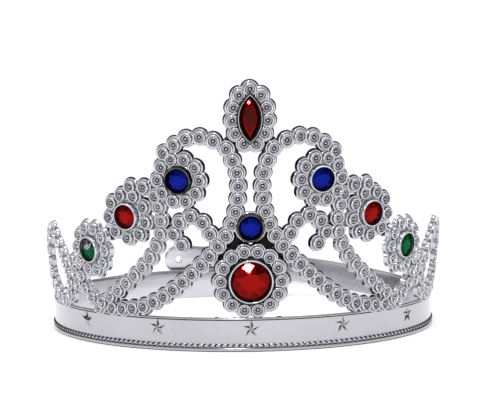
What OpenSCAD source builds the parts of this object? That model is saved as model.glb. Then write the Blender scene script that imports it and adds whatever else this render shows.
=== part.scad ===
// Costume crown: one plated plastic moulding, split here into its sections, and nine gems.
// Millimetres. +Z is up and the crown faces -Y. The origin is on the crown's upright axis,
// in the plane that the headband stands on. Left is -X, as seen from the front.

/* [Headband] */
// Outer radius of the headband
band_r = 72.5; // [68:0.5:78]
// Height of the headband and of the rear straps
band_h = 12; // [11:0.5:13]
// Wall thickness of the headband and of the rear straps
wall = 1.2; // [1.0:0.1:1.4]
// Angle from the front to each end of the headband
band_end = 95; // [92:1:98]
// How far the foot rim stands out from the headband
rim_out = 0.5; // [0.3:0.1:0.6]
// Height of the foot rim
rim_h = 1.4; // [1.2:0.1:1.6]
// Thickness of the rope moulding above the foot rim
rope_d = 1.6; // [1.2:0.1:1.8]

/* [Stars] */
// Tip radius of a star on the headband
star_r = 3.2; // [2.5:0.1:3.6]
// Height of a star's centre above the headband
star_h = 0.7; // [0.4:0.1:0.9]
// Angle between two neighbouring stars
star_step = 27; // [25:0.5:28]

/* [Filigree] */
// Angle that the filigree leans outwards
flare = 6; // [4:0.5:7]
// Radius of a bead's flange
flange_r = 3.2; // [3.0:0.1:3.4]
// Radius of a bead's raised ring
ring_r = 2.3; // [2.1:0.1:2.4]
// Thickness of a bead's flange
flange_t = 1.6; // [1.4:0.1:1.8]
// Height of a bead's raised ring above its flange
ring_h = 1.1; // [0.9:0.1:1.3]

/* [Gems] */
// Diameter of the large round gem
large_d = 14; // [13.5:0.1:14.2]
// Diameter of each small round gem
small_d = 8; // [7.6:0.1:8.2]
// Length of the pointed gem at the top
marquise_l = 15; // [14.5:0.1:15.2]
// Width of the pointed gem at the top
marquise_w = 6.8; // [6.5:0.1:7]

/* [Rear straps] */
// Angle from the front to the left strap's round end
left_reach = 198; // [190:1:200]
// Angle from the front to the centre of the right strap's hole
hole_at = 199; // [196:1:202]
// Radius of the hole in the right strap
hole_r = 1.25; // [1.1:0.05:1.4]
// Height of the closing peg on the left strap
peg_h = 1.2; // [0.8:0.1:1.3]
// Tilt that lifts the free end of the right strap
strap_lift = 6; // [5:0.25:6.5]
// How much larger the right strap's radius is, so that it passes outside the left one
strap_spread = 4; // [3.6:0.1:5]

/* [Hidden] */
$fn = 48;

// The filigree's middle surface rises upright from the headband, curves, then leans out.
skin_r = band_r - wall + flange_t / 2;
lean_start = band_h;
lean_end = band_h + 8;
lean_mid = (lean_start + lean_end) / 2;

// How far the front rosette, its bezel and its gem stand out from the rest of the filigree
front_stand = 0.5;

// Heights of the gem centres, and their angles from the front
marquise_z = 82.6;
centre_z = 44.4;
front_z = 25.4;
upper = [18.7, 61];
middle = [34.3, 47.8];
lower = [48.8, 34.8];

// Bead routes on the right-hand side, as [angle from the front, height] control points
SCROLL = [[6, 72], [3.3, 63], [3.7, 51], [6.8, 41], [14.3, 30], [23, 20.7], [31, 15.4], [38, 13.9], [42, 13.7]];
ARCH = [[9.3, 74.8], [12.5, 76.1], [16, 75.7], [19.5, 73.4], [22.4, 70.4]];
INNER = [[10.7, 42], [12.6, 46], [15.7, 48.2], [18.9, 46.2], [20.7, 42], [18.6, 38]];
ARM = [[24.7, 51.4], [24.1, 46], [24.9, 40.5], [28.2, 33], [34, 25.8], [40.2, 20], [46, 15.4]];
LINK = [[25.4, 55.2], [28.7, 58.2], [32.6, 58.4], [36.1, 55]];
SWEEP = [[55, 29], [54.5, 24.5], [53.5, 20.3], [50.5, 16.6], [47.6, 13.6]];
SWEEP_OUTER = [[59, 29.2], [58, 25], [57, 20.6], [58, 16.6]];
SPIRE_INNER = [[72, 40.6], [69.5, 37.4], [65.7, 31.5], [63, 26.5], [61.6, 21.5], [62.2, 16.2]];
SPIRE_OUTER = [[74.6, 38.6], [77.6, 34.2], [79.4, 28], [79, 22], [75.6, 17.2], [70.5, 14.4], [66, 13.6]];

// Small flat webs behind the beads, as [angle, height, radius], on the right-hand side
WEBS = [[4.7, 73.2, 3.4], [4.7, 39.8, 3.6], [8.8, 33.4, 2.8], [20.9, 71, 2.4], [22.2, 44.6, 2.8],
    [26.8, 51.6, 2.4], [34.6, 54.6, 3.2], [41.6, 41.4, 3.4], [57.4, 20.4, 3.4]];
web_t = 0.6;

function lean_slope(z) = tan(flare) * min(1, max(0, (z - lean_start) / (lean_end - lean_start)));
function lean_out(z) = z > lean_end ? tan(flare) * (z - lean_mid)
    : tan(flare) * pow(max(0, z - lean_start), 2) / (2 * (lean_end - lean_start));
function skin(z) = skin_r + lean_out(z);

// Points along a smooth curve through the control points P
function smooth(a, b, c, d, t) = 0.5 * (2 * b + (c - a) * t
    + (2 * a - 5 * b + 4 * c - d) * t * t + (3 * b - a - 3 * c + d) * t * t * t);
function curve(P, steps = 12) = [
    for (i = [0 : len(P) - 2]) for (j = [0 : steps - 1])
        smooth(P[max(i - 1, 0)], P[i], P[i + 1], P[min(i + 2, len(P) - 1)], j / steps),
    P[len(P) - 1]];
function gap(p, q) = norm([(q[0] - p[0]) * PI / 180 * skin(p[1]), q[1] - p[1]]);
function lengths(Q) = [for (i = 0, s = 0; i < len(Q); s = s + (i + 1 < len(Q) ? gap(Q[i], Q[i + 1]) : 0), i = i + 1) s];
function at(Q, L, s, i = 0) = i >= len(Q) - 2 || L[i + 1] >= s
    ? Q[i] + (Q[i + 1] - Q[i]) * (s - L[i]) / (L[i + 1] - L[i]) : at(Q, L, s, i + 1);
function spaced(P, n) = let (Q = curve(P), L = lengths(Q))
    [for (k = [0 : n - 1]) at(Q, L, L[len(L) - 1] * k / (n - 1))];

// Puts its children on the filigree: local +Z points out of the crown and local +Y points up it
module on_crown(angle, z) {
    rotate([0, 0, angle]) translate([0, -skin(z), z]) rotate([90 + atan(lean_slope(z)), 0, 0]) children();
}

// Bead of a rosette: a flange with a raised ring
module bead() {
    translate([0, 0, -flange_t / 2]) cylinder(r = flange_r, h = flange_t);
    cylinder(r = ring_r, h = flange_t / 2 + ring_h);
}

// Point at an offset from place p on the filigree: x along it, y up it and h out of it
function offset_point(p, x, y, h) = let (f = atan(lean_slope(p[1])), out = [sin(p[0]), -cos(p[0]), 0])
    out * skin(p[1]) + [0, 0, p[1]] + [cos(p[0]), sin(p[0]), 0] * x
    + (out * sin(f) + [0, 0, cos(f)]) * y + (out * cos(f) - [0, 0, sin(f)]) * h;

// Direction of the route Q at its point k, as a unit vector along and up the filigree
function heading(Q, k) = let (p = Q[max(k - 1, 0)], q = Q[min(k + 1, len(Q) - 1)],
    d = [(q[0] - p[0]) * PI / 180 * skin(Q[k][1]), q[1] - p[1]]) d / norm(d);

// Flat strip along the route Q, made wide enough to back every bead; w gives its half width
module strip(Q, w) {
    last = len(Q) - 1;
    rings = [for (k = [0 : last]) let (d = heading(Q, k), run = k == 0 ? -w[k] * 0.7 : k == last ? w[k] * 0.7 : 0)
        for (c = [[1, -1], [-1, -1], [-1, 1], [1, 1]])
            offset_point(Q[k], d[0] * run - d[1] * w[k] * c[0], d[1] * run + d[0] * w[k] * c[0],
                c[1] < 0 ? -flange_t / 2 : strip_front)];
    polyhedron(rings, concat([[3, 2, 1, 0], [for (c = [0 : 3]) 4 * last + c]],
        [for (k = [0 : last - 1]) for (c = [0 : 3]) for (half = [0, 1]) let (n = (c + 1) % 4)
            half == 0 ? [4 * k + c, 4 * k + n, 4 * k + 4 + c] : [4 * k + n, 4 * k + 4 + n, 4 * k + 4 + c]]));
}
strip_front = 0.4;
bead_seat = 0.06;

// Chain of n beads along a route; the beads grow from taper to full size over the first five
module chain(route, n, taper = 1) {
    P = spaced(route, n);
    Q = spaced(route, 2 * n - 1);
    function size(k) = taper + (1 - taper) * min(1, k / 4);
    pitch = min([for (k = [0 : n - 2]) gap(P[k], P[k + 1])]);
    bead_r = min(ring_r - 0.1, pitch / 2 - bead_seat);
    strip(Q, [for (k = [0 : 2 * n - 2]) flange_r * 0.94 * size(k / 2)]);
    for (k = [0 : n - 1]) on_crown(P[k][0], P[k][1]) translate([0, 0, strip_front + bead_seat])
        cylinder(r = bead_r * size(k), h = flange_t / 2 + ring_h - strip_front - bead_seat);
}

// Mirrors its children to the left-hand side when side is -1
module sided(side) {
    if (side < 0) mirror([1, 0, 0]) children();
    else children();
}

// Ring of n places round a bezel, with a bead at each one but those in gaps
module round_rosette(at, n, r, hub_r, first = 0, gaps = []) {
    color("silver") on_crown(at[0], at[1]) difference() {
        for (k = [0 : n - 1]) if (len(search(k, gaps)) == 0) {
            t = first + 360 * k / n;
            translate([r * cos(t), r * sin(t), 0]) bead();
        }
        translate([0, 0, -flange_t]) cylinder(r = hub_r, h = 4 * flange_t);
    }
}

// Cup that holds a round gem: a thin rim outside a sloping inner wall
bezel_floor = 0.5;
bezel_top = 3;
module round_bezel(at, gem_d, out_r) {
    color("silver") on_crown(at[0], at[1]) difference() {
        translate([0, 0, -flange_t / 2]) cylinder(r = out_r, h = flange_t / 2 + bezel_top);
        translate([0, 0, bezel_floor])
            cylinder(r1 = gem_d / 2 + 0.05, r2 = out_r - 0.35, h = bezel_top - bezel_floor + 0.01);
    }
}
large_bezel_r = large_d / 2 + 1.6;
small_bezel_r = small_d / 2 + 1.05;

// Flat-backed gem: a short girdle, a sloping crown and a flat table
module round_gem(at, d, tint) {
    color(tint) on_crown(at[0], at[1]) translate([0, 0, bezel_floor]) {
        cylinder(d = d, h = d * 0.07);
        translate([0, 0, d * 0.07]) cylinder(d1 = d, d2 = d * 0.56, h = d * 0.15);
    }
}

// Pointed oval: where two equal circles overlap
module pointed_oval(length, width, h) {
    arc_r = (length * length + width * width) / (4 * width);
    intersection() {
        translate([arc_r - width / 2, 0, 0]) cylinder(r = arc_r, h = h, $fn = 96);
        translate([width / 2 - arc_r, 0, 0]) cylinder(r = arc_r, h = h, $fn = 96);
    }
}
marquise_oval = [6.15, 9.8];
marquise_lift = 0.3;
marquise_beads = 11;
// Place of bead k round the marquise, on an oval, with the beads about equally far apart
function marquise_place(k) = let (u = 360 * k / marquise_beads, t = 90 + u + 6 * sin(2 * u))
    [marquise_oval[0] * cos(t), marquise_oval[1] * sin(t) + marquise_lift, 0];
marquise_bezel_l = marquise_l + 3.2;
marquise_bezel_w = marquise_w + 2.5;

module headband() {
    color("silver") rotate([0, 0, 270 - band_end]) rotate_extrude(angle = 2 * band_end, $fn = 180)
        polygon([[band_r - wall, 0], [band_r + rim_out, 0], [band_r + rim_out, rim_h - 0.3],
            [band_r, rim_h], [band_r, band_h - 0.3], [band_r - 0.3, band_h], [band_r - wall, band_h]]);
}

module rope_trim() {
    rope_z = rim_h + rope_d / 2 + 0.1;
    color("silver") rotate([0, 0, 270 - band_end]) rotate_extrude(angle = 2 * band_end, $fn = 180)
        polygon([for (k = [0 : 8]) let (t = -90 + 180 * k / 8)
            [band_r + rope_d / 2 * cos(t), rope_z + rope_d / 2 * sin(t)]]);
}

// A faceted star whose ridges rise to its centre
module star() {
    rim = [for (k = [0 : 9]) let (r = k % 2 == 0 ? star_r : star_r * 0.4)
        [r * sin(36 * k), r * cos(36 * k), 0]];
    points = concat(rim, [[0, 0, star_h], [0, 0, -0.1]]);
    polyhedron(points, concat([for (k = [0 : 9]) [k, (k + 1) % 10, 10]], [for (k = [0 : 9]) [(k + 1) % 10, k, 11]]));
}

module stars() {
    color("silver") for (k = [-2 : 2]) rotate([0, 0, star_step * k])
        translate([0, -band_r, 8.1]) rotate([90, 0, 0]) star();
}

module web_plates() {
    color("dimgray") for (side = [-1, 1]) for (w = WEBS)
        on_crown(side * w[0], w[1]) translate([0, 0, -flange_t / 2 - 0.1 - web_t]) cylinder(r = w[2], h = web_t);
}

module marquise_rosette() {
    color("silver") on_crown(0, marquise_z) difference() {
        for (k = [0 : marquise_beads - 1]) translate(marquise_place(k)) bead();
        translate([0, 0, -flange_t]) pointed_oval(marquise_bezel_l, marquise_bezel_w, 4 * flange_t);
    }
}

module marquise_bezel() {
    color("silver") on_crown(0, marquise_z) difference() {
        translate([0, 0, -flange_t / 2])
            pointed_oval(marquise_bezel_l, marquise_bezel_w, flange_t / 2 + bezel_top);
        translate([0, 0, bezel_floor]) pointed_oval(marquise_l + 0.2, marquise_w + 0.1, bezel_top);
    }
}

module marquise_gem() {
    color("crimson") on_crown(0, marquise_z) translate([0, 0, bezel_floor]) {
        pointed_oval(marquise_l, marquise_w, 0.8);
        translate([0, 0, 0.8]) pointed_oval(marquise_l * 0.66, marquise_w * 0.6, 0.9);
    }
}

module centre_bezel() { round_bezel([0, centre_z], small_d, small_bezel_r); }
module centre_gem() { round_gem([0, centre_z], small_d, "royalblue"); }
module stood_out() { translate([0, -front_stand, 0]) children(); }
module front_rosette() { stood_out() round_rosette([0, front_z], 14, 10.6, large_bezel_r, 360 / 28 - 90); }
module front_bezel() { stood_out() round_bezel([0, front_z], large_d, large_bezel_r); }
module front_gem() { stood_out() round_gem([0, front_z], large_d, "crimson"); }

module upper_rosette() { round_rosette(upper, 10, 7.6, small_bezel_r); }
module upper_bezel() { round_bezel(upper, small_d, small_bezel_r); }
module upper_gem() { round_gem(upper, small_d, "royalblue"); }

module middle_rosette() { round_rosette(middle, 9, 7.9, small_bezel_r, -6, [2]); }
module middle_bezel() { round_bezel(middle, small_d, small_bezel_r); }
module middle_gem() { round_gem(middle, small_d, "crimson"); }

module lower_rosette() { round_rosette(lower, 10, 7.8, small_bezel_r); }
module lower_bezel() { round_bezel(lower, small_d, small_bezel_r); }
module lower_gem() { round_gem(lower, small_d, "seagreen"); }

module centre_scroll() { color("silver") chain(SCROLL, 20); }
module top_arch() { color("silver") chain(ARCH, 5); }
module inner_scroll() { color("silver") chain(INNER, 6); }
module side_arm() { color("silver") chain(ARM, 11); }
module link() { color("silver") chain(LINK, 4); }
module side_sweep() { color("silver") chain(SWEEP, 5); }
module outer_sweep() { color("silver") chain(SWEEP_OUTER, 4); }
module spire_front() { color("silver") chain(SPIRE_INNER, 8, 0.62); }
module spire_back() { color("silver") chain(SPIRE_OUTER, 9, 0.72); }

// Each strap turns about an upright line in the middle of the wall, just past the headband's end.
hinge_r = band_r - wall / 2;
strap_gap = 0.3;
hinge_at = band_end + (strap_gap + wall / 2) * 180 / (PI * hinge_r);

// Arc of strap that starts at the hinge, for a strap on the right-hand side
module strap_arc(r, sweep) {
    rotate([0, 0, hinge_at - 90]) translate([hinge_r, 0, 0]) {
        cylinder(d = wall, h = band_h);
        translate([-(r - wall / 2), 0, 0]) rotate_extrude(angle = sweep, $fn = 180)
            translate([r - wall, 0]) square([wall, band_h]);
    }
}

// Solid that keeps the last stretch of a strap inside a round end
module round_end(r, sweep, from) {
    rotate([0, 0, hinge_at - 90]) translate([hinge_r - (r - wall / 2), 0, 0]) {
        rotate([0, 0, from]) translate([0, 0, band_h / 2]) rotate([0, 90, 0]) cylinder(r = band_h / 2, h = r + 5);
        rotate([0, 0, -1]) rotate_extrude(angle = from + 1, $fn = 180) square([r + 5, band_h]);
    }
}

module strap_shape(r, sweep) {
    end_sweep = asin(band_h / 2 / r);
    intersection() {
        strap_arc(r, sweep);
        round_end(r, sweep, sweep - end_sweep);
    }
}

left_sweep = left_reach - hinge_at;
peg_sweep = left_sweep - asin(band_h / 2 / band_r);
module left_strap() { color("silver") mirror([1, 0, 0]) strap_shape(band_r, left_sweep); }

// Peg on the outer face of the left strap, which snaps into the right strap's hole
module closing_peg() {
    color("silver") mirror([1, 0, 0]) rotate([0, 0, hinge_at - 90 + peg_sweep])
        translate([0, 0, band_h / 2]) difference() {
            rotate([0, 90, 0]) cylinder(r = hole_r - 0.1, h = band_r + peg_h);
            translate([0, 0, -band_h]) cylinder(r = band_r, h = 2 * band_h, $fn = 180);
        }
}

right_r = band_r + strap_spread;
// Sweep from the hinge to the hole, for a circle that is larger and touches the band at the hinge
hole_turn = hole_at - hinge_at;
hole_sweep = hole_turn - asin(strap_spread * sin(hole_turn) / (right_r - wall / 2));
right_sweep = hole_sweep + asin(band_h / 2 / right_r);
module right_strap() {
    pivot = [hinge_r * cos(hinge_at - 90), hinge_r * sin(hinge_at - 90), band_h / 2];
    foot_room = wall / 2 * sin(strap_lift);
    color("silver") difference() {
        translate(pivot + [0, 0, foot_room]) rotate([0, strap_lift, 0]) translate(-pivot) difference() {
            strap_shape(right_r, right_sweep);
            rotate([0, 0, hinge_at - 90]) translate([hinge_r - (right_r - wall / 2), 0, band_h / 2])
                rotate([0, 90, hole_sweep]) cylinder(r = hole_r, h = right_r + 5);
        }
        // Keeps the tilted strap's lower edge flush with the headband's inner face
        translate([0, 0, -1]) cylinder(r = band_r - wall, h = 2 * band_h, $fn = 180);
    }
}

headband();
rope_trim();
stars();
web_plates();
marquise_rosette();
marquise_bezel();
marquise_gem();
centre_bezel();
centre_gem();
front_rosette();
front_bezel();
front_gem();
sided(-1) upper_rosette();  // left_upper_rosette
sided(-1) upper_bezel();  // left_upper_bezel
sided(-1) upper_gem();  // left_upper_gem
sided(1) upper_rosette();  // right_upper_rosette
sided(1) upper_bezel();  // right_upper_bezel
sided(1) upper_gem();  // right_upper_gem
sided(-1) middle_rosette();  // left_middle_rosette
sided(-1) middle_bezel();  // left_middle_bezel
sided(-1) middle_gem();  // left_middle_gem
sided(1) middle_rosette();  // right_middle_rosette
sided(1) middle_bezel();  // right_middle_bezel
sided(1) middle_gem();  // right_middle_gem
sided(-1) lower_rosette();  // left_lower_rosette
sided(-1) lower_bezel();  // left_lower_bezel
sided(-1) lower_gem();  // left_lower_gem
sided(1) lower_rosette();  // right_lower_rosette
sided(1) lower_bezel();  // right_lower_bezel
sided(1) lower_gem();  // right_lower_gem
sided(-1) centre_scroll();  // left_centre_scroll
sided(1) centre_scroll();  // right_centre_scroll
sided(-1) top_arch();  // left_top_arch
sided(1) top_arch();  // right_top_arch
sided(-1) inner_scroll();  // left_inner_scroll
sided(1) inner_scroll();  // right_inner_scroll
sided(-1) side_arm();  // left_side_arm
sided(1) side_arm();  // right_side_arm
sided(-1) link();  // left_link
sided(1) link();  // right_link
sided(-1) side_sweep();  // left_side_sweep
sided(1) side_sweep();  // right_side_sweep
sided(-1) outer_sweep();  // left_outer_sweep
sided(1) outer_sweep();  // right_outer_sweep
sided(-1) spire_front();  // left_spire_front
sided(1) spire_front();  // right_spire_front
sided(-1) spire_back();  // left_spire_back
sided(1) spire_back();  // right_spire_back
left_strap();
closing_peg();
right_strap();
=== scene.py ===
import math

import bmesh
import bpy
import numpy as np
from mathutils import Matrix, Vector


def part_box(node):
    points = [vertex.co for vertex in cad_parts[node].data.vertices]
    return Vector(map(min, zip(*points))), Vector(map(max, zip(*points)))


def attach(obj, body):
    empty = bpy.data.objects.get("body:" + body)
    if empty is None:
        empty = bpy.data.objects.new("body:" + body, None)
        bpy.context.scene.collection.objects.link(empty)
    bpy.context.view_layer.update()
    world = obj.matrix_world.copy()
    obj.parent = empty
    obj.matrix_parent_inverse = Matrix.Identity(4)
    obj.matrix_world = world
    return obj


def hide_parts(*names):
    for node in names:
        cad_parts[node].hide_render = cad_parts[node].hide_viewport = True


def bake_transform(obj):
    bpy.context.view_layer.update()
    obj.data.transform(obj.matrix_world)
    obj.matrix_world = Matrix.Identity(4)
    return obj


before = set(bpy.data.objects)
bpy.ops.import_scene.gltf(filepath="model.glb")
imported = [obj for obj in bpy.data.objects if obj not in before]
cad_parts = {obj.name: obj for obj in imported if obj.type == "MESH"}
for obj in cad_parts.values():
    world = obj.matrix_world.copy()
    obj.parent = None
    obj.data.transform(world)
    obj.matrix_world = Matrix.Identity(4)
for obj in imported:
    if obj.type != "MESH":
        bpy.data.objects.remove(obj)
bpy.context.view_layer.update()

MM = 0.001
CROWN, LEFT_STRAP = "crown_frame", "left_strap_body"
SIDES = {"left": -1, "right": 1}
IN_PLACE = Matrix.Identity(4)     # for a shape whose points already stand where they belong

# ---------------------------------------------------------------- sizes, in millimetres and degrees
# Heights in the tables below are measured from the crown's skin, the surface that every flange's middle lies in.
BAND_OUTER = 72.5
BAND_WALL = 1.2
BAND_HEIGHT = 12
BAND_END = 95              # from the front to each end of the headband
HINGE_GAP = 0.9            # from the headband's end to the line that a strap turns about
STRAP_RADIUS = BAND_OUTER - BAND_WALL / 2
HINGE = BAND_END + math.degrees(HINGE_GAP / STRAP_RADIUS)
BEAD_TOP = 1.9             # top of a bead's ring
WEB_FRONT, WEB_BACK = -0.9, -1.5
BEZEL_TOP, BEZEL_FLOOR = 3.0, 0.5
LARGE_GEM, SMALL_GEM = 14, 8
LARGE_BEZEL, SMALL_BEZEL = 8.6, 5.05
MARQUISE = (6.8, 15)       # width and length of the pointed gem

# Rosettes: places round the bezel, radius of their circle, first place's angle, places left empty
ROSETTES = {
    "front": (14, 10.6, 360 / 28 - 90, ()),
    "upper": (10, 7.6, 0, ()),
    "middle": (9, 7.9, -6, (2,)),
    "lower": (10, 7.8, 0, ()),
}
CHAINS = ("centre_scroll", "top_arch", "inner_scroll", "side_arm", "link", "side_sweep",
          "outer_sweep", "spire_front", "spire_back")
# Groups at the sides, painted paler where light falls on them from the sides
PALE_CHAINS = ("side_arm", "side_sweep", "outer_sweep", "spire_front", "spire_back")
PALE_ROSETTE = "lower"
SINGLE = ("front", "centre")      # settings in the crown's middle; the others come in pairs


# ---------------------------------------------------------------- places, read from the frame
def sides_of(name):
    """Prefix and sign of each copy of a setting."""
    return [("", 1)] if name in SINGLE else [(f"{side}_", sign) for side, sign in SIDES.items()]


def solids(node):
    """The corner points of each separate solid in a CAD node, in metres."""
    bm = bmesh.new()
    bm.from_mesh(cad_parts[node].data)
    bmesh.ops.remove_doubles(bm, verts=bm.verts, dist=1e-6)
    left, found = set(bm.verts), []
    while left:
        stack, group = [left.pop()], []
        while stack:
            vertex = stack.pop()
            group.append(vertex.co[:])
            for edge in vertex.link_edges:
                other = edge.other_vert(vertex)
                if other in left:
                    left.remove(other)
                    stack.append(other)
        found.append(np.array(group))
    bm.free()
    return sorted(found, key=lambda points: tuple(points.mean(0).round(6)))


def seat(points, top):
    """Where a flat round solid sits on the crown: Z points out, Y up it, and the origin is on the skin."""
    centre = points.mean(0)
    out = Vector(np.linalg.eigh(np.cov((points - centre).T))[1][:, 0])
    if out.dot(Vector((centre[0], centre[1], 0))) < 0:
        out.negate()
    high = ((points - centre) @ np.array(out)).max()
    right = Vector((0, 0, 1)).cross(out).normalized()
    up = out.cross(right)
    origin = Vector(centre) + out * (high - top * MM)
    return Matrix.Translation(origin) @ Matrix((right, up, out)).transposed().to_4x4()


def hub_of(bezel_node):
    return seat(solids(bezel_node)[0], BEZEL_TOP)


def bead_seats(node):
    """The seats of a chain's beads in their order along it, each with the bead's size."""
    every = solids(node)
    # The strip that joins the beads is left out, because their flanges hide it
    strip = max(every, key=lambda points: np.ptp(points, axis=0).max())
    beads = [points for points in every if points is not strip]
    seats = [seat(points, BEAD_TOP) for points in beads]
    reach = [np.linalg.norm(points - points.mean(0), axis=1).max() for points in beads]
    thick = max(np.ptp((points - points.mean(0)) @ np.array(place.to_3x3().col[2])) / 2
                for points, place in zip(beads, seats))
    widths = [math.sqrt(r * r - thick * thick) for r in reach]
    gap = [[(a.translation - b.translation).length for b in seats] for a in seats]
    order = [int(np.argmax([sum(row) for row in gap]))]               # starts at one end
    while len(order) < len(seats):
        rest = [i for i in range(len(seats)) if i not in order]
        order.append(min(rest, key=lambda i: gap[order[-1]][i]))
    return [(seats[i], widths[i] / max(widths)) for i in order]


# ---------------------------------------------------------------- meshes
def lathe(profile, segments=28):
    """Surface of revolution about Z. The profile is a list of (radius, height, material slot)."""
    points, faces, slots, rings = [], [], [], []
    for r, z, _ in profile:
        if r == 0:
            rings.append([len(points)] * segments)
            points.append((0, 0, z))
            continue
        rings.append(list(range(len(points), len(points) + segments)))
        for k in range(segments):
            t = 2 * math.pi * k / segments
            points.append((r * math.cos(t), r * math.sin(t), z))
    for i in range(len(profile) - 1):
        for k in range(segments):
            n = (k + 1) % segments
            face = [rings[i][k], rings[i][n], rings[i + 1][n], rings[i + 1][k]]
            face = list(dict.fromkeys(face))
            if len(face) > 2:
                faces.append(face)
                slots.append(profile[i + 1][2])
    return np.array(points, float), faces, slots


def moved(shape, matrix, scale=(1, 1, 1)):
    """A shape in millimetres, scaled and set on a seat in metres."""
    points, faces, slots = shape
    spot = np.array(matrix)
    points = (points * np.array(scale) * MM) @ spot[:3, :3].T + spot[:3, 3]
    return points, faces, slots


def piece(name, shapes, materials, node, body=CROWN, smooth=35):
    """One mesh object from several shapes, which stands for a CAD node and rides on a body.
    """
    points, faces, slots, shift = [], [], [], 0
    for p, f, s in shapes:
        points.append(p)
        faces += [[i + shift for i in face] for face in f]
        slots += s
        shift += len(p)
    mesh = bpy.data.meshes.new(name)
    mesh.from_pydata(np.concatenate(points).tolist(), [], faces)
    for material in materials:
        mesh.materials.append(material)
    mesh.polygons.foreach_set("material_index", slots)
    mesh.polygons.foreach_set("use_smooth", [True] * len(faces))
    mesh.set_sharp_from_angle(angle=math.radians(smooth))
    obj = bpy.data.objects.new(name, mesh)
    bpy.context.scene.collection.objects.link(obj)
    if body:
        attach(obj, body)
    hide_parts(node)
    return obj


# ---------------------------------------------------------------- materials
def new_material(name):
    material = bpy.data.materials.new(name)
    material.use_nodes = True
    tree = material.node_tree
    return material, tree, tree.nodes["Principled BSDF"]


def noise_node(tree, scale, detail, stretch=(1, 1, 1)):
    coordinates = tree.nodes.new("ShaderNodeTexCoord")
    mapping = tree.nodes.new("ShaderNodeMapping")
    mapping.inputs["Scale"].default_value = stretch
    texture = tree.nodes.new("ShaderNodeTexNoise")
    texture.inputs["Scale"].default_value = scale
    texture.inputs["Detail"].default_value = detail
    tree.links.new(coordinates.outputs["Object"], mapping.inputs["Vector"])
    tree.links.new(mapping.outputs["Vector"], texture.inputs["Vector"])
    return texture.outputs["Fac"]


def ramp_node(tree, value, stops):
    ramp = tree.nodes.new("ShaderNodeValToRGB")
    elements = ramp.color_ramp.elements
    for element, (place, colour) in zip(elements, (stops[0], stops[-1])):
        element.position, element.color = place, (*colour, 1)
    for place, colour in stops[1:-1]:
        element = elements.new(place)
        element.color = (*colour, 1)
    tree.links.new(value, ramp.inputs["Fac"])
    return ramp.outputs["Color"]


def range_node(tree, value, low, high, start=0, end=1):
    """Value spread from low to high as it goes from start to end."""
    remap = tree.nodes.new("ShaderNodeMapRange")
    for name, number in (("From Min", start), ("From Max", end), ("To Min", low), ("To Max", high)):
        remap.inputs[name].default_value = number
    tree.links.new(value, remap.inputs["Value"])
    return remap.outputs["Result"]


def axes_node(tree, space):
    """The X, Y and Z outputs of a kind of texture coordinate."""
    coordinates = tree.nodes.new("ShaderNodeTexCoord")
    split = tree.nodes.new("ShaderNodeSeparateXYZ")
    tree.links.new(coordinates.outputs[space], split.inputs["Vector"])
    return split.outputs


def mixed(tree, factor, first, second):
    """Colour mix; first and second are sockets or plain colours."""
    mix = tree.nodes.new("ShaderNodeMix")
    mix.data_type = "RGBA"
    tree.links.new(factor, mix.inputs["Factor"])
    for socket, source in zip([s for s in mix.inputs if s.type == "RGBA"], (first, second)):
        if isinstance(source, tuple):
            socket.default_value = (*source, 1)
        else:
            tree.links.new(source, socket)
    return [s for s in mix.outputs if s.type == "RGBA"][0]


def sum_node(tree, value, factor, other):
    """value * factor + other"""
    total = tree.nodes.new("ShaderNodeMath")
    total.operation = "MULTIPLY_ADD"
    total.inputs[1].default_value = factor
    tree.links.new(value, total.inputs[0])
    tree.links.new(other, total.inputs[2])
    return total.outputs["Value"]


def attribute_node(tree, name):
    attribute = tree.nodes.new("ShaderNodeAttribute")
    attribute.attribute_name = name
    return attribute.outputs["Fac"]


def bump_node(tree, value, distance, before=None):
    bump = tree.nodes.new("ShaderNodeBump")
    bump.inputs["Distance"].default_value = distance * MM
    tree.links.new(value, bump.inputs["Height"])
    if before is not None:
        tree.links.new(before, bump.inputs["Normal"])
    return bump.outputs["Normal"]


# The straps' shades at the back are painted reflections: streaks along each strap, painted darker at its upper
# edge
STRAP_FADE = (0.008, 0.05)        # metres behind the middle, between which the band's shade becomes the strap's
STREAK_RISE = -0.13               # how much darker the streaks are at a strap's upper edge
ALONG_STRAP = (0.35, 0.35, 4)     # stretches noise level round the crown


def plating(name, dark, light, roughness, ripple, tint_scale, back=None):
    """Vacuum-metallised plastic: a mirror with faint clouds, a moulded ripple and fine handling marks.

    Towards the back it can change to two other shades, in streaks along the straps: painted reflections,
    darker towards a strap's upper edge.
    """
    material, tree, shader = new_material(name)
    shader.inputs["Metallic"].default_value = 1.0
    tint = ramp_node(tree, noise_node(tree, tint_scale, 4), [(0.3, dark), (0.7, light)])
    if back:
        clouds = noise_node(tree, 28, 4, ALONG_STRAP)
        streaks = sum_node(tree, attribute_node(tree, "rise"), STREAK_RISE, clouds)
        streaks = ramp_node(tree, streaks, [(0.34, back[0]), (0.56, back[1])])
        depth = range_node(tree, axes_node(tree, "Object")["Y"], 0, 1, *STRAP_FADE)
        tint = mixed(tree, depth, tint, streaks)
    tree.links.new(tint, shader.inputs["Base Color"])
    marks = noise_node(tree, 700, 5, (1, 1, 3))
    tree.links.new(range_node(tree, marks, *roughness), shader.inputs["Roughness"])
    wave = bump_node(tree, noise_node(tree, 260, 1), ripple)
    tree.links.new(bump_node(tree, marks, ripple * 0.05, wave), shader.inputs["Normal"])
    return material


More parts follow.
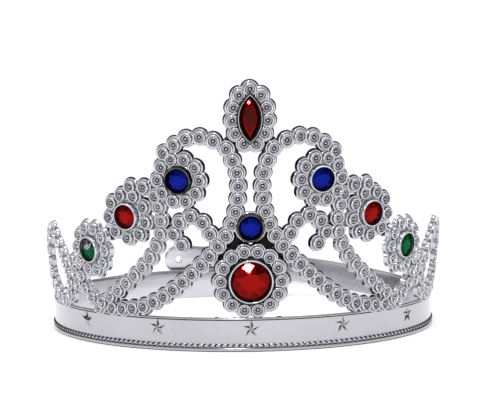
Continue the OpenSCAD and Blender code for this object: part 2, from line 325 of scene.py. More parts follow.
def jewel(slot, deep, bright):
    """Foil-backed acrylic: a tinted mirror under a clear gloss, whose facets carry painted shades of the foil's
    reflection.

    It comes with the name of its slot.
    """
    material, tree, shader = new_material(slot)
    shader.inputs["Metallic"].default_value = 0.95
    shader.inputs["Specular Tint"].default_value = (*[part / max(bright) for part in bright], 1)
    shader.inputs["Coat Weight"].default_value = 0.12
    shader.inputs["Coat Roughness"].default_value = 0.02
    foil_shade = sum_node(tree, noise_node(tree, 330, 4), 0.7, attribute_node(tree, "foil_shade"))
    tree.links.new(ramp_node(tree, foil_shade, [(0.45, deep), (1.0, bright)]), shader.inputs["Base Color"])
    tree.links.new(range_node(tree, noise_node(tree, 900, 4), 0.08, 0.22), shader.inputs["Roughness"])
    tree.links.new(bump_node(tree, noise_node(tree, 350, 2), 0.015), shader.inputs["Normal"])
    return material, slot


def web_shade_material():
    """Thin web between the beads, painted nearly black as shade, with faint mottling."""
    material, tree, shader = new_material("web_dark")
    clouds = noise_node(tree, 1100, 6)
    tint = ramp_node(tree, clouds, [(0.4, (0.002, 0.0015, 0.0012)), (0.72, (0.018, 0.011, 0.006))])
    tree.links.new(tint, shader.inputs["Base Color"])
    tree.links.new(range_node(tree, clouds, 0.4, 0.7), shader.inputs["Roughness"])
    tree.links.new(bump_node(tree, clouds, 0.15), shader.inputs["Normal"])
    shader.inputs["Specular IOR Level"].default_value = 0.12
    return material


# Each plating: darkest and lightest shade, roughness, ripple in millimetres, scale of the clouds
SILVER = plating("silver_beads", (0.46, 0.46, 0.50), (0.60, 0.60, 0.63), (0.06, 0.16), 0.04, 400)
BAND_LOOK = ((0.44, 0.44, 0.465), (0.485, 0.485, 0.51), (0.12, 0.22), 0.006, 30)
SATIN = plating("silver_band", *BAND_LOOK)
# the right strap's back shades are painted lighter than the left one's, as light falls on it
STRAPS = {"left": plating("silver_left_strap", *BAND_LOOK, ((0.38, 0.38, 0.40), (0.63, 0.63, 0.66))),
          "right": plating("silver_right_strap", *BAND_LOOK, ((0.46, 0.46, 0.48), (0.76, 0.76, 0.79)))}
# Painted shade and painted reflection in four greys: grey in recesses and on glaring gem facets, pale grey in the
# side groups' recesses, dark grey and near black on walls, facets, grooves and edges
GREY_SHADE = plating("silver_grey_shade", (0.16, 0.16, 0.17), (0.44, 0.44, 0.46), (0.14, 0.35), 0.06, 1800)
DARK_GREY_SHADE = plating("silver_dark_grey_shade", (0.016, 0.015, 0.015), (0.12, 0.115, 0.11), (0.12, 0.26), 0.05, 330)
NEAR_BLACK_SHADE = plating("silver_near_black_shade", (0.008, 0.008, 0.009), (0.045, 0.045, 0.05), (0.12, 0.25), 0.03, 500)
PALE_GREY_SHADE = plating("silver_pale_grey_shade", (0.30, 0.30, 0.315), (0.52, 0.52, 0.54), (0.14, 0.35), 0.06, 1800)
# Slots of the beads: 0 bright, 1 painted recess shade, 2 painted dark shade. The groups at the sides are painted
# paler, as light falls on them from the sides.
PLATED = [SILVER, GREY_SHADE, NEAR_BLACK_SHADE]
PALE_PLATED = [SILVER, PALE_GREY_SHADE, DARK_GREY_SHADE]
WEB_SHADE = web_shade_material()
RED = jewel("gem_red", (0.05, 0.001, 0.001), (0.26, 0.001, 0.001))
BLUE = jewel("gem_blue", (0.001, 0.003, 0.08), (0.001, 0.008, 0.22))
GREEN = jewel("gem_green", (0.001, 0.014, 0.007), (0.002, 0.075, 0.032))
GEMS = {"marquise": RED, "front": RED, "centre": BLUE, "upper": BLUE, "middle": RED, "lower": GREEN}


# ---------------------------------------------------------------- beads, webs and rosettes
WALL = 3                   # stands in BEAD for the flange's drafted wall, whose slot depends on what is near it
# Radius, height and slot of each step of a bead: flange, wall, ring, groove and the small stone. Slot 1 is
# painted shade in the groove and round the stone, slot 2 a painted dark ring at the stone's foot.
BEAD = [(0, -0.8, 0), (3.0, -0.8, 0), (3.32, -0.76, 0), (3.42, -0.66, 0), (3.38, -0.54, 0),
        (3.3, -0.46, WALL), (3.04, 0.42, WALL), (2.96, 0.6, WALL),
        (2.86, 0.73, 0), (2.7, 0.79, 0), (2.5, 0.8, 0), (2.42, 0.74, 1), (2.36, 0.86, 1), (2.31, 1.45, 1),
        (2.24, 1.72, 0), (2.08, 1.87, 0), (1.9, 1.9, 0), (1.74, 1.84, 0), (1.62, 1.66, 0),
        (1.54, 1.34, 1), (1.42, 1.16, 1), (1.22, 1.1, 1), (0.98, 1.12, 1), (0.86, 1.2, 1), (0.78, 1.12, 1),
        (0.66, 1.02, 2), (0.5, 1.06, 2), (0.42, 1.24, 0), (0.28, 1.4, 0), (0, 1.44, 0)]
BESIDE = 3.7               # a wall this near to another bead's middle is beside that bead
FLANGE_STEP = 0.07         # every other bead is this much deeper, so that its flange passes behind the next ones
# Bounds on the direction that a wall faces, which decide its painted shade: Y is to the back, Z is up
BACKWARD, FORWARD, DOWNWARD = 0.25, -0.38, -0.45


def beads(places, pale):
    """Beads on their seats.

    A wall beside a bead is painted with the recess's shade. Elsewhere it is left bright where it faces forward
    or down, and painted dark otherwise, as a painted reflection.
    On a pale piece it is painted dark only where it faces up and back.
    """
    points, faces, slots = lathe(BEAD)
    walls = [(i, points[faces[i]].mean(0)) for i, kind in enumerate(slots) if kind == WALL]
    centres = np.array([place.translation[:] for place, _ in places]) / MM
    shapes = []
    for k, (place, size) in enumerate(places):
        others = np.delete(centres, k, 0)
        own = list(slots)
        for i, middle in walls:
            spot = np.array(place @ Vector(middle * MM)) / MM
            beside = np.linalg.norm(others - spot, axis=1).min() < BESIDE
            facing = place.to_3x3() @ Vector((middle[0], middle[1], 0)).normalized()
            hidden = facing.y > BACKWARD and facing.z > 0
            lit = facing.z < DOWNWARD or facing.y < FORWARD
            # painted shade: recess grey beside a bead, bright where lit, dark elsewhere
            own[i] = 1 if beside else 0 if lit or (pale and not hidden) else 2
        deeper = Matrix.Translation((0, 0, -FLANGE_STEP * MM * (k % 2)))
        shapes.append(moved((points, faces, own), place @ deeper, (size, size, 1)))
    return shapes


def bead_piece(node, places, pale=False):
    """All the beads of a chain or rosette, in place of its CAD node."""
    piece(f"{node}_beads", beads(places, pale), PALE_PLATED if pale else PLATED, node)


def rosette_places(hub, side, count, radius, first, gaps):
    """Seats round a hub. The left side mirrors the right one."""
    places = []
    for k in range(count):
        if k in gaps:
            continue
        t = math.radians(first + 360 * k / count)
        shift = Vector((side * radius * math.cos(t), radius * math.sin(t), 0)) * MM
        places.append((hub @ Matrix.Translation(shift), 1))
    return places


# Beads round the pointed gem: how many, half their oval's width and height, how far it is raised, and the
# angle by which they crowd towards its sides
OVAL_BEADS, OVAL_X, OVAL_Y, OVAL_RAISED, OVAL_SHIFT = 11, 6.15, 9.8, 0.3, 6


def oval_places(hub):
    places = []
    for k in range(OVAL_BEADS):
        u = 2 * math.pi * k / OVAL_BEADS
        t = math.pi / 2 + u + math.radians(OVAL_SHIFT) * math.sin(2 * u)
        shift = Vector((OVAL_X * math.cos(t), OVAL_Y * math.sin(t) + OVAL_RAISED, 0)) * MM
        places.append((hub @ Matrix.Translation(shift), 1))
    return places


def build_chains():
    for side in SIDES:
        for name in CHAINS:
            node = f"{side}_{name}"
            bead_piece(node, bead_seats(node), name in PALE_CHAINS)


def build_rosettes():
    for name, circle in ROSETTES.items():
        for side, sign in sides_of(name):
            hub = hub_of(f"{side}{name}_bezel")
            bead_piece(f"{side}{name}_rosette", rosette_places(hub, sign, *circle), name == PALE_ROSETTE)
    bead_piece("marquise_rosette", oval_places(hub_of("marquise_bezel")))


# Outside these angles the webs' fronts are painted near-black shade; between them they are left silver, where
# light falls
BRIGHT_WEBS = (33, 43)            # degrees from the front, between which the webs are as bright as the beads


def web(radius):
    """A thin disc with rounded edges, whose front has slot 1."""
    return lathe([(0, WEB_BACK, 0), (radius - 0.15, WEB_BACK, 0), (radius, WEB_BACK + 0.15, 0),
                  (radius, WEB_FRONT - 0.2, 1), (radius - 0.2, WEB_FRONT, 1), (0, WEB_FRONT, 1)], 40)


def build_webs():
    dark, bright = [], []
    for points in solids("web_plates"):
        place = seat(points, WEB_FRONT)
        azimuth = math.degrees(math.atan2(abs(place.translation.x), -place.translation.y))
        radius = np.linalg.norm(points - points.mean(0), axis=1).max() / MM
        group = bright if BRIGHT_WEBS[0] < azimuth < BRIGHT_WEBS[1] else dark
        group.append(moved(web(radius), place))
    piece("dark_webs", dark, [SILVER, WEB_SHADE], "web_plates")
    piece("bright_webs", bright, [SILVER, SILVER], "web_plates")


# ---------------------------------------------------------------- bezels and gems
# Steps of a round bezel: distance from its radius (outwards is positive), height and slot
FOOT = [(0.5, -0.8, 0), (0.55, 0.62, 0), (0.3, 0.86, 0)]
RIMS = {
    "large": [(0.02, 0.95, 2), (-0.2, 2.4, 2), (-0.8, 2.86, 2), (-0.86, 2.95, 0), (-0.98, 3.0, 0),
              (-1.18, 2.98, 0), (-1.3, 2.9, 0)],
    "dark": [(0.1, 0.9, 0), (0.04, 1.0, 2), (-0.1, 2.6, 2), (-0.2, 2.84, 2), (-0.34, 2.98, 1), (-0.56, 3.0, 1),
             (-0.74, 2.9, 1)],
    "light": [(0.1, 0.9, 0), (0.04, 1.0, 1), (-0.1, 2.6, 0), (-0.2, 2.84, 0), (-0.34, 2.98, 0), (-0.56, 3.0, 0),
              (-0.68, 2.96, 0)],
}
# The step inside the rim: distance from the gem's seat, height and slot
CHAMFERS = {"large": (0.2, 2.6, 2), "dark": (0.12, 2.5, 1), "light": (0.12, 2.6, 2)}
# Bezels painted dark all over, as shade
DARK_BEZELS = ("centre", "left_upper")


def round_bezel(radius, gem_d, kind):
    """Cup round a gem. The large one has a bright rim on a wall painted dark as shade;
    a small one is painted dark or left bright all over.
    """
    seat_r = gem_d / 2 + 0.05
    outside = [(radius + out, z, slot) for out, z, slot in FOOT + RIMS[kind]]
    out, z, slot = CHAMFERS[kind]
    inside = [(seat_r + out, z, slot), (seat_r + 0.06, 1.0, 1), (seat_r, 0.55, 2), (0, BEZEL_FLOOR, 2)]
    return lathe([(0, -0.8, 0), *outside, *inside], 72)


def pointed_oval(width, length, z):
    """Ring of two equal arcs that meet at a point above and below, anticlockwise from the right."""
    arc = (length ** 2 + width ** 2) / (4 * width)
    half = math.asin(length / 2 / arc)
    right = [(arc * math.cos(t) - arc + width / 2, arc * math.sin(t)) for t in np.linspace(-half, half, 25)[:-1]]
    return [(x, y, z) for x, y in right] + [(-x, -y, z) for x, y in right]


def loft(outlines, slots):
    """Rings of equal point count joined in order, with the first one and the last one filled."""
    count = len(outlines[0])
    points = np.array([p for ring in outlines for p in ring], float)
    faces, kinds = [list(range(count))[::-1]], [slots[0]]
    for i in range(len(outlines) - 1):
        for k in range(count):
            n = (k + 1) % count
            faces.append([i * count + k, i * count + n, (i + 1) * count + n, (i + 1) * count + k])
            kinds.append(slots[i + 1])
    faces.append([(len(outlines) - 1) * count + k for k in range(count)])
    kinds.append(slots[-1])
    return points, faces, kinds


# Steps of the pointed bezel from the back to its floor: distance from its outline, height and slot
POINTED_RIM = [(0.1, -0.8, 0), (0.3, -0.7, 0), (0.3, 0.5, 0), (0.16, 0.78, 0), (0.1, 0.9, 1), (0.1, 2.2, 1),
               (0.0, 2.5, 1), (-0.5, 2.96, 1), (-0.58, 3.02, 0), (-0.68, 3.0, 0), (-0.74, 2.9, 1), (-1.1, 2.6, 1),
               (-1.5, 2.1, 2), (-1.5, 1.9, 2), (-1.28, 1.8, 2), (-1.28, 0.5, 2)]
POINTED_ROOM = (2.5, 3.2)         # what the bezel's outline adds to the gem's width and length


def marquise_bezel():
    """Cup round the pointed gem. Its points move out further than its sides."""
    width, length = (size + room for size, room in zip(MARQUISE, POINTED_ROOM))
    rings = [pointed_oval(width + 2 * out, length + 2.5 * out, z) for out, z, _ in POINTED_RIM]
    return loft(rings, [slot for _, _, slot in POINTED_RIM])


# Painted brightness of the foil's reflection behind each kind of facet of a round gem
TABLE_SHADE, POINT_SHADE, KITE_SHADE, GIRDLE_SHADE = 0.78, 0.68, 0.36, 0.26
# Sizes of a round gem as shares of its diameter or of its depth
GEM_DEPTH, TABLE_SIZE, SHOULDER_SIZE = 0.22, 0.47, 0.86
GIRDLE_HEIGHT, SHOULDER_HEIGHT = 0.44, 0.66
SMALL_GEM_RAISED = 0.45


def cut_gem(name, place, diameter, turn, look, node, seed, glare):
    """Round gem with a table, points and kites round it and girdle facets.

    With glare, its upper facets are painted silver instead of coloured, a painted reflection of the light.
    """
    rng = np.random.default_rng(seed)
    depth = GEM_DEPTH * diameter
    count = 8
    step = 2 * math.pi / count
    low = BEZEL_FLOOR if diameter == LARGE_GEM else BEZEL_FLOOR + SMALL_GEM_RAISED
    girdle, high = low + GIRDLE_HEIGHT * depth, low + depth
    points, faces, foil_shade, kinds = [], [], [], []

    def add(angle, share, z):
        r = share * diameter / 2
        points.append((r * math.cos(angle + turn), r * math.sin(angle + turn), z))
        return len(points) - 1

    def face(corners, shade, spread=0.12, kind=0):
        faces.append(corners)
        kinds.append(kind)
        foil_shade.append(float(np.clip(shade + rng.uniform(-spread, spread), 0, 1)))

    table = [add(step * k, TABLE_SIZE, high) for k in range(count)]
    shoulder = [add(step * (k + 0.5), SHOULDER_SIZE, low + SHOULDER_HEIGHT * depth) for k in range(count)]
    rim = [add(step * k / 2, 1.0, girdle) for k in range(2 * count)]
    foot = [add(step * k / 2, 1.0, low) for k in range(2 * count)]
    middle = add(0, 0, high)
    for k in range(count):
        n = (k + 1) % count
        last = rim[(2 * k + 2) % (2 * count)]
        height = math.sin(step * (k + 0.5) + turn)
        # facets in the gem's lower part are painted darker, as shade
        lower_shade = 0.75 if height < -0.2 else 1
        # upper facets of the glaring gem take the painted grey and near-black reflection
        pale = 1 if glare and height > 0.3 else 0
        face([middle, table[k], table[n]], TABLE_SHADE, 0.08, pale)
        face([table[k], shoulder[k], table[n]], POINT_SHADE * lower_shade, kind=pale)
        face([table[n], shoulder[k], shoulder[n]], KITE_SHADE * lower_shade, kind=2 * pale)
        face([shoulder[k], rim[2 * k], rim[2 * k + 1]], GIRDLE_SHADE, kind=pale)
        face([shoulder[k], rim[2 * k + 1], last], GIRDLE_SHADE * 0.6)
        face([shoulder[k], last, shoulder[n]], GIRDLE_SHADE * 1.3, kind=pale)
    for k in range(2 * count):
        n = (k + 1) % (2 * count)
        face([rim[k], foot[k], foot[n], rim[n]], 0.3)
    face(foot[::-1], 0)
    gem_piece(name, place, (np.array(points), faces, kinds), foil_shade, look, node, 1)


def gem_piece(name, place, shape, foil_shade, look, node, smooth):
    """A gem whose faces carry a painted brightness of the foil's reflection behind them, from 0 to 1 or a little
    more.
    """
    material, slot = look
    obj = piece(name, [moved(shape, place)], [material, GREY_SHADE, NEAR_BLACK_SHADE], node, smooth=smooth)
    attribute = obj.data.attributes.new("foil_shade", "FLOAT", "FACE")
    attribute.data.foreach_set("value", foil_shade)


# Rings of the pointed gem: share of its outline, height and painted brightness of the foil's reflection
DOME = [(1.0, 0.5, 0), (1.0, 1.25, 0), (0.95, 1.5, 0.3), (0.9, 1.64, 0.8), (0.84, 1.81, 1.0), (0.78, 1.98, 0.95),
        (0.72, 2.15, 0.75), (0.62, 2.36, 0.25), (0.4, 2.5, 0.1), (0.12, 2.54, 0.05)]
# painted brightening of the foil's reflection towards the tips
TIP_SHADE = 0.35
# A small polished flat near its upper tip, where the light glints: its middle, and its slopes along X and Y
GLINT = (-0.45, 5.7, 2.08)
GLINT_SLOPES = (0.09, -0.374)


def pointed_gem(name, place, look, node):
    """Low dome on a pointed oval, with painted reflection: dark in the middle, bright along its sides and tips.
    """
    rings = [pointed_oval(MARQUISE[0] * share, MARQUISE[1] * share, z) for share, z, _ in DOME]
    points, faces, _ = loft(rings, [0] * len(rings))
    tips = [TIP_SHADE * (abs(y) / MARQUISE[1] * 2) ** 2 for _, y, _ in pointed_oval(*MARQUISE, 0)]
    foil_shade = [0] + [shade + tip * share ** 4 for share, _, shade in DOME[1:] for tip in tips] + [0]
    flat = []
    for radius, sunk in ((0.6, 0.3), (0.55, 0)):
        circle = [(radius * math.cos(a), radius * math.sin(a)) for a in np.linspace(0, 2 * math.pi, 13)[:-1]]
        flat.append([(u + GLINT[0], v + GLINT[1], GLINT[2] + GLINT_SLOPES[0] * u + GLINT_SLOPES[1] * v - sunk)
                     for u, v in circle])
    spots, sides, _ = loft(flat, [0, 0])
    faces += [[i + len(points) for i in side] for side in sides]
    # the polished flat carries the brightest painted foil shade
    foil_shade += [1.0] * len(sides)
    points = np.concatenate([points, spots])
    gem_piece(name, place, (points, faces, [0] * len(faces)), foil_shade, look, node, 60)


LARGE_TURN, SMALL_TURNS = 11, (33, 64)      # degrees by which each gem is turned in its bezel
# the gem whose upper facets carry a painted reflection
GLARING_GEM = "left_lower"


def build_settings():
    """Every bezel with its gem."""
    for n, name in enumerate(("front", "centre", "upper", "middle", "lower")):
        large = name == "front"
        gem_d, radius = (LARGE_GEM, LARGE_BEZEL) if large else (SMALL_GEM, SMALL_BEZEL)
        for m, (side, _) in enumerate(sides_of(name)):
            setting = side + name
            hub = hub_of(f"{setting}_bezel")
            kind = "large" if large else "dark" if setting in DARK_BEZELS else "light"
            cup = moved(round_bezel(radius, gem_d, kind), hub)
            wall = DARK_GREY_SHADE if kind == "dark" else GREY_SHADE
            piece(f"{setting}_bezel_cup", [cup], [SILVER, wall, NEAR_BLACK_SHADE], f"{setting}_bezel")
            turn = math.radians(LARGE_TURN if large else SMALL_TURNS[m])
            cut_gem(f"{setting}_cut_gem", hub, gem_d, turn, GEMS[name], f"{setting}_gem",
                    seed=10 * n + m, glare=setting == GLARING_GEM)
    hub = hub_of("marquise_bezel")
    piece("marquise_bezel_cup", [moved(marquise_bezel(), hub)], [SILVER, DARK_GREY_SHADE, NEAR_BLACK_SHADE], "marquise_bezel")
    pointed_gem("marquise_cut_gem", hub, GEMS["marquise"], "marquise_gem")


# ---------------------------------------------------------------- headband, rope, stars and straps
def around(azimuth, radius, z):
    """Point at an azimuth from the front, in millimetres."""
    t = math.radians(azimuth)
    return radius * math.sin(t), -radius * math.cos(t), z


def swept(profile, azimuths):
    """A closed profile of (radius, height, slot) carried round the crown's axis, with filled ends."""
    rings = [[around(a, r, z) for r, z, _ in profile] for a in azimuths]
    points, faces, _ = loft(rings, [0] * len(rings))
    sides = [profile[(k + 1) % len(profile)][2] for k in range(len(profile))]
    return points, faces, [0, *sides * (len(rings) - 1), 0]


# Radius, height above the table and slot (0 satin, 1 painted near-black shade) of each corner of the headband
FOOT_RIM = [(71.42, 0, 0), (72.8, 0, 0), (72.98, 0.08, 1), (73.0, 0.3, 1), (73.0, 1.08, 0), (72.9, 1.3, 0)]
OUTER_FACE = [(72.66, 1.42, 1), (72.5, 1.52, 1), (72.5, 11.0, 0)]
LIP = [(72.44, 11.06, 1), (72.4, 11.16, 1), (72.46, 11.3, 1), (72.6, 11.42, 0), (72.66, 11.66, 0),
       (72.6, 11.86, 0), (72.44, 11.97, 0), (72.3, 12.0, 0)]
INNER_FACE = [(71.5, 12.0, 0), (71.34, 11.92, 0), (71.3, 11.7, 0), (71.3, 0.2, 0), (71.34, 0.06, 0)]
BAND_PROFILE = FOOT_RIM + OUTER_FACE + LIP + INNER_FACE
# Nibs left by the mould on the headband's top: azimuth, half length, height
NIBS = [(-9.6, 0.9, 0.34), (-4.6, 0.7, 0.26), (7.9, 1.2, 0.4)]
NIB_HALF_WIDTH, NIB_RADIUS, NIB_FOOT = 0.32, 72.0, 11.97


def build_headband():
    nib = lathe([(1, 0, 1), (0.92, 0.4, 1), (0.7, 0.75, 1), (0.35, 0.95, 1), (0, 1, 1)], 16)
    shapes = [moved(swept(BAND_PROFILE, np.linspace(-BAND_END, BAND_END, 191)), IN_PLACE)]
    for azimuth, half, height in NIBS:
        place = Matrix.Translation(Vector(around(azimuth, NIB_RADIUS, NIB_FOOT)) * MM)
        place = place @ Matrix.Rotation(math.radians(azimuth), 4, "Z")
        shapes.append(moved(nib, place, (half, NIB_HALF_WIDTH, height)))
    piece("headband_shell", shapes, [SATIN, NEAR_BLACK_SHADE], "headband", smooth=30)


ROPE_Z, ROPE_R, ROPE_PITCH, ROPE_SLANT = 2.3, 0.8, 2.1, 0.75
ROPE_SUNK = 0.12                  # how far its middle is inside the headband's outer face
ROPE_FLATTENED = 0.9              # its depth as a share of its height
ROPE_PINCH = 0.42                 # its radius between two strands as a share of the full one
# the grooves between strands carry painted near-black shade
ROPE_GROOVE = 0.17                # half width of a dark groove, in strands


def build_rope():
    """A rope laid as two mirrored halves: slanted strands swell and pinch along a half-round moulding."""
    per_strand, across = 12, 10
    width = across + 1
    length = math.radians(BAND_END) * BAND_OUTER
    strands = round(length / ROPE_PITCH)
    shapes = []
    for side in SIDES.values():
        points, faces, slots = [], [], []
        rows = strands * per_strand
        for i in range(rows + 1):
            s = length * i / rows
            for j in range(width):
                v = -math.pi / 2 + math.pi * j / across
                phase = math.pi * (s / ROPE_PITCH + ROPE_SLANT * v / math.pi)
                swell = abs(math.sin(phase)) ** 0.6
                r = ROPE_R * (ROPE_PINCH + (1 - ROPE_PINCH) * swell)
                radius = BAND_OUTER - ROPE_SUNK + r * math.cos(v) * ROPE_FLATTENED
                azimuth = side * math.degrees(s / BAND_OUTER)
                points.append(around(azimuth, radius, ROPE_Z + r * math.sin(v)))
        for i in range(rows):
            for j in range(across):
                face = [i * width + j, (i + 1) * width + j, (i + 1) * width + j + 1, i * width + j + 1]
                faces.append(face if side > 0 else face[::-1])
                turn = (i + 0.5) / per_strand + ROPE_SLANT * ((j + 0.5) / across - 0.5)
                # the grooves between strands get the painted near-black shade
                slots.append(1 if abs(turn - round(turn)) < ROPE_GROOVE else 0)
        shapes.append(moved((np.array(points), faces, slots), IN_PLACE))
    piece("rope_strands", shapes, [SILVER, NEAR_BLACK_SHADE], "rope_trim", smooth=60)


STAR_HEIGHT, STAR_WAIST = 0.7, 0.42         # its peak, and its inner corners as a share of its points


def build_stars():
    """Raised stars whose facets are left bright and painted dark in turn, as painted light and shade; their walls
    are painted dark.
    """
    shapes = []
    for points in solids("stars"):
        reach = np.linalg.norm(points - points.mean(0), axis=1).max() / MM
        rim, facets, walls = [], [], []
        for k in range(10):
            r = reach if k % 2 == 0 else STAR_WAIST * reach
            rim.append((-r * math.sin(math.pi * k / 5), r * math.cos(math.pi * k / 5)))
            n = (k + 1) % 10
            facets.append([k, n, 20])
            walls.append([k, k + 10, n + 10, n])
        corners = [(x, y, z) for z in (0.02, -0.1) for x, y in rim] + [(0, 0, STAR_HEIGHT)]
        shape = np.array(corners, float), facets + walls, [k % 2 for k in range(10)] + [1] * 10
        shapes.append(moved(shape, seat(points, STAR_HEIGHT)))
    piece("star_reliefs", shapes, [SILVER, DARK_GREY_SHADE], "stars", smooth=1)


def strap_sheet(length, hole_r):
    """Middle surface of a strap as a flat sheet: along it, across it. Its end is round, with a hole or none."""
    half = BAND_HEIGHT / 2
    rows, cell = 8, 3.0
    across = np.linspace(-half, half, rows + 1)
    columns = round((length - 2 * half) / cell)
    along = np.linspace(0, length - 2 * half, columns + 1)
    points = [(s, t) for s in along for t in across]
    corners = [i * (rows + 1) + j for i in range(columns) for j in range(rows)]
    faces = [[c, c + rows + 1, c + rows + 2, c + 1] for c in corners]
    centre = length - half
    border = [(-half, t) for t in across[::-1]]                       # down the sheet's last column
    border += [(x, -half) for x in np.linspace(-half, 0, 5)[1:]]
    border += [(half * math.sin(a), -half * math.cos(a)) for a in np.linspace(0, math.pi, 17)[1:]]
    border += [(x, half) for x in np.linspace(0, -half, 5)[1:-1]]
    rings = 7
    inner = max(hole_r, 0.6)                                          # with no hole, a small face closes it
    start = len(points)
    for k in range(rings + 1):
        share = (k / rings) ** 0.8
        for x, t in border:
            d = math.hypot(x, t)
            hx, ht = x / d * inner, t / d * inner
            points.append((centre + x + (hx - x) * share, t + (ht - t) * share))
    count = len(border)
    for k in range(rings):
        for i in range(count):
            n = (i + 1) % count
            faces.append([start + k * count + i, start + k * count + n,
                          start + (k + 1) * count + n, start + (k + 1) * count + i])
    if not hole_r:
        faces.append([start + rings * count + i for i in range(count)])
    return points, faces


LEFT_END = 198                    # degrees from the front to the left strap's round end
HOLE_ALONG, HOLE_R = 132.86, 1.25           # the right strap's hole, measured from the hinge
RIGHT_TILT, RIGHT_SPREAD = 6, 4             # its lean, and how much wider its bend is than the left one's
RIGHT_LIFT = 0.063                # keeps the leaning strap's lower edge off the table
STRAP_LEAD = 1.6                  # a strap begins this far before its hinge, inside the headband
STRAP_SETTLE = 14                 # it rolls into its lean over this length
STRAP_THICK, STRAP_ROUNDING = 1.18, 0.28


def build_strap(side, reach, hole_r=0.0, tilt=0, spread=0, lift=0.0):
    """A strap that carries on from the headband's end past its hinge line and rolls into its lean."""
    sign = SIDES[side]
    middle = BAND_HEIGHT / 2
    first = math.radians(HINGE - 90)
    pivot = Vector((STRAP_RADIUS * math.cos(first), STRAP_RADIUS * math.sin(first), middle))
    radius = STRAP_RADIUS + spread
    centre = pivot - (pivot * Vector((1, 1, 0))).normalized() * radius
    lean = Matrix.Rotation(math.radians(tilt), 3, "Y")
    points, faces = strap_sheet(reach + STRAP_LEAD, hole_r)
    placed = []
    for s, t in points:
        a = first + (s - STRAP_LEAD) / radius
        spot = Vector((centre.x + radius * math.cos(a), centre.y + radius * math.sin(a), middle + t))
        share = min(1, max(0, (s - STRAP_LEAD) / STRAP_SETTLE))
        share = share * share * (3 - 2 * share)
        spot = spot.lerp(lean @ (spot - pivot) + pivot + Vector((0, 0, lift)), share)
        placed.append((sign * spot.x, spot.y, spot.z))
    shape = moved((np.array(placed), faces, [0] * len(faces)), IN_PLACE)
    obj = piece(f"{side}_strap_band", [shape], [STRAPS[side]], f"{side}_strap", body=None, smooth=40)
    rise = obj.data.attributes.new("rise", "FLOAT", "POINT")
    rise.data.foreach_set("value", [2 * t / BAND_HEIGHT for _, t in points])
    bm = bmesh.new()
    bm.from_mesh(obj.data)
    bmesh.ops.remove_doubles(bm, verts=bm.verts, dist=1e-6)
    bmesh.ops.recalc_face_normals(bm, faces=bm.faces)
    bm.to_mesh(obj.data)
    bm.free()
    solid = obj.modifiers.new("thickness", "SOLIDIFY")
    solid.thickness, solid.offset = STRAP_THICK * MM, 0
    bevel = obj.modifiers.new("rounded_edges", "BEVEL")
    bevel.width, bevel.segments = STRAP_ROUNDING * MM, 3
    bevel.limit_method, bevel.angle_limit = "ANGLE", math.radians(50)
    apply_modifiers(obj)
    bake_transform(obj)


def apply_modifiers(obj):
    evaluated = obj.evaluated_get(bpy.context.evaluated_depsgraph_get())
    mesh = bpy.data.meshes.new_from_object(evaluated)
    obj.modifiers.clear()
    old, obj.data = obj.data, mesh
    bpy.data.meshes.remove(old)
    mesh.polygons.foreach_set("use_smooth", [True] * len(mesh.polygons))
    mesh.set_sharp_from_angle(angle=math.radians(50))


# Radius and height of each step of the peg above the left strap's outer face
PEG = [(0, -0.3), (1.3, -0.3), (1.24, 0.08), (1.02, 0.22), (0.98, 0.55), (1.15, 0.75), (1.13, 0.95), (0.9, 1.12),
       (0.5, 1.19), (0, 1.2)]


def build_straps():
    build_strap("left", math.radians(LEFT_END - HINGE) * STRAP_RADIUS)
    build_strap("right", HOLE_ALONG + BAND_HEIGHT / 2, HOLE_R, RIGHT_TILT, RIGHT_SPREAD, RIGHT_LIFT)
    low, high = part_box("closing_peg")
    centre = (low + high) / 2
    out, up = Vector((centre.x, centre.y, 0)).normalized(), Vector((0, 0, 1))
    place = Matrix.Translation(out * (BAND_OUTER * MM) + up * centre.z)
    place = place @ Matrix((up.cross(out), up, out)).transposed().to_4x4()
    shape = lathe([(r, z, 0) for r, z in PEG], 24)
    piece("snap_peg", [moved(shape, place)], [SATIN], "closing_peg", body=LEFT_STRAP)


# ---------------------------------------------------------------- studio
CAMERA_AZIMUTH, CAMERA_ELEVATION, CAMERA_ROLL = -2.24, 8.53, 0.62
CAMERA_DISTANCE = 0.7782
CAMERA_AIM = Vector((0.0015, 0.0068, 0.0452))
SENSOR, LENS = 36, 147.2


def build_camera():
    a, e = math.radians(CAMERA_AZIMUTH), math.radians(CAMERA_ELEVATION)
    back = Vector((math.sin(a) * math.cos(e), -math.cos(a) * math.cos(e), math.sin(e)))
    data = bpy.data.cameras.new("camera")
    data.sensor_width, data.lens = SENSOR, LENS
    camera = bpy.data.objects.new("camera", data)
    camera.location = back * CAMERA_DISTANCE
    aim = (CAMERA_AIM - camera.location).to_track_quat("-Z", "Y")
    camera.rotation_mode = "QUATERNION"
    camera.rotation_quaternion = aim @ Matrix.Rotation(math.radians(-CAMERA_ROLL), 3, "Z").to_quaternion()
    bpy.context.scene.collection.objects.link(camera)
    bpy.context.scene.camera = camera


def area_light(name, place, aim, size, power):
    data = bpy.data.lights.new(name, "AREA")
    data.shape, data.size, data.size_y, data.energy = "RECTANGLE", size[0], size[1], power
    light = bpy.data.objects.new(name, data)
    light.location = place
    light.rotation_euler = (Vector(aim) - Vector(place)).to_track_quat("-Z", "Y").to_euler()
    bpy.context.scene.collection.objects.link(light)


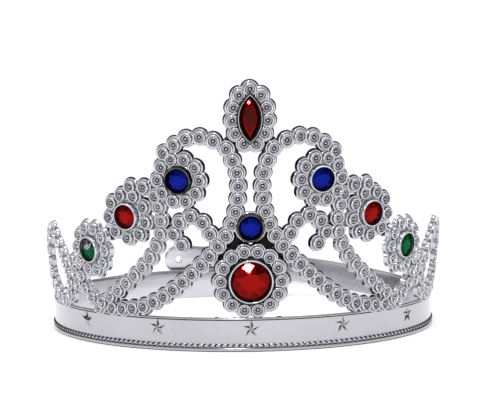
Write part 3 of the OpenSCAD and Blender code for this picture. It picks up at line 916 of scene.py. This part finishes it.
def build_floor():
    material, tree, shader = new_material("white_floor")
    tint = ramp_node(tree, noise_node(tree, 3, 2), [(0.3, (0.92, 0.92, 0.93)), (0.7, (0.95, 0.95, 0.95))])
    tree.links.new(tint, shader.inputs["Base Color"])
    tree.links.new(tint, shader.inputs["Emission Color"])
    shader.inputs["Emission Strength"].default_value = 0.25
    shader.inputs["Roughness"].default_value = 0.9
    mesh = bpy.data.meshes.new("floor")
    mesh.from_pydata([(-4, -4, 0), (4, -4, 0), (4, 4, 0), (-4, 4, 0)], [], [(0, 1, 2, 3)])
    mesh.materials.append(material)
    floor = bpy.data.objects.new("floor", mesh)
    bpy.context.scene.collection.objects.link(floor)


def build_world():
    """A pale tent with a dark belt between walls and ceiling, darker at the back, and white to the camera."""
    world = bpy.data.worlds.new("tent")
    bpy.context.scene.world = world
    world.use_nodes = True
    tree = world.node_tree
    axes = axes_node(tree, "Generated")
    front = ramp_node(tree, axes["Z"], [(0.0, (0.95, 0.95, 0.97)), (0.20, (0.85, 0.85, 0.87)),
                                        (0.34, (0.30, 0.30, 0.31)), (0.46, (0.30, 0.30, 0.31)),
                                        (0.58, (1.0, 1.0, 1.02)), (1.0, (1.3, 1.3, 1.3))])
    back = ramp_node(tree, axes["Z"], [(0.0, (0.50, 0.50, 0.52)), (0.10, (0.20, 0.20, 0.21)),
                                       (0.55, (0.10, 0.10, 0.11)), (0.8, (0.7, 0.7, 0.72)),
                                       (1.0, (1.2, 1.2, 1.2))])
    tent = mixed(tree, range_node(tree, axes["Y"], 0, 1, 0.35, 0.75), front, back)
    seen = tree.nodes.new("ShaderNodeLightPath")
    colour = mixed(tree, seen.outputs["Is Camera Ray"], tent, (1.1, 1.1, 1.1))
    tree.links.new(colour, tree.nodes["Background"].inputs["Color"])


build_camera()
build_floor()
build_world()
area_light("overhead", place=(0, -0.15, 0.9), aim=(0, 0, 0), size=(0.8, 0.4), power=1.5)
area_light("key", place=(-0.1157, -0.9393, 0.5222), aim=(0, -0.0765, 0.03), size=(0.065, 0.065), power=2.6)
bpy.context.scene.view_settings.view_transform = "Standard"

build_chains()
build_rosettes()
build_webs()
build_settings()
build_headband()
build_rope()
build_straps()
build_stars()
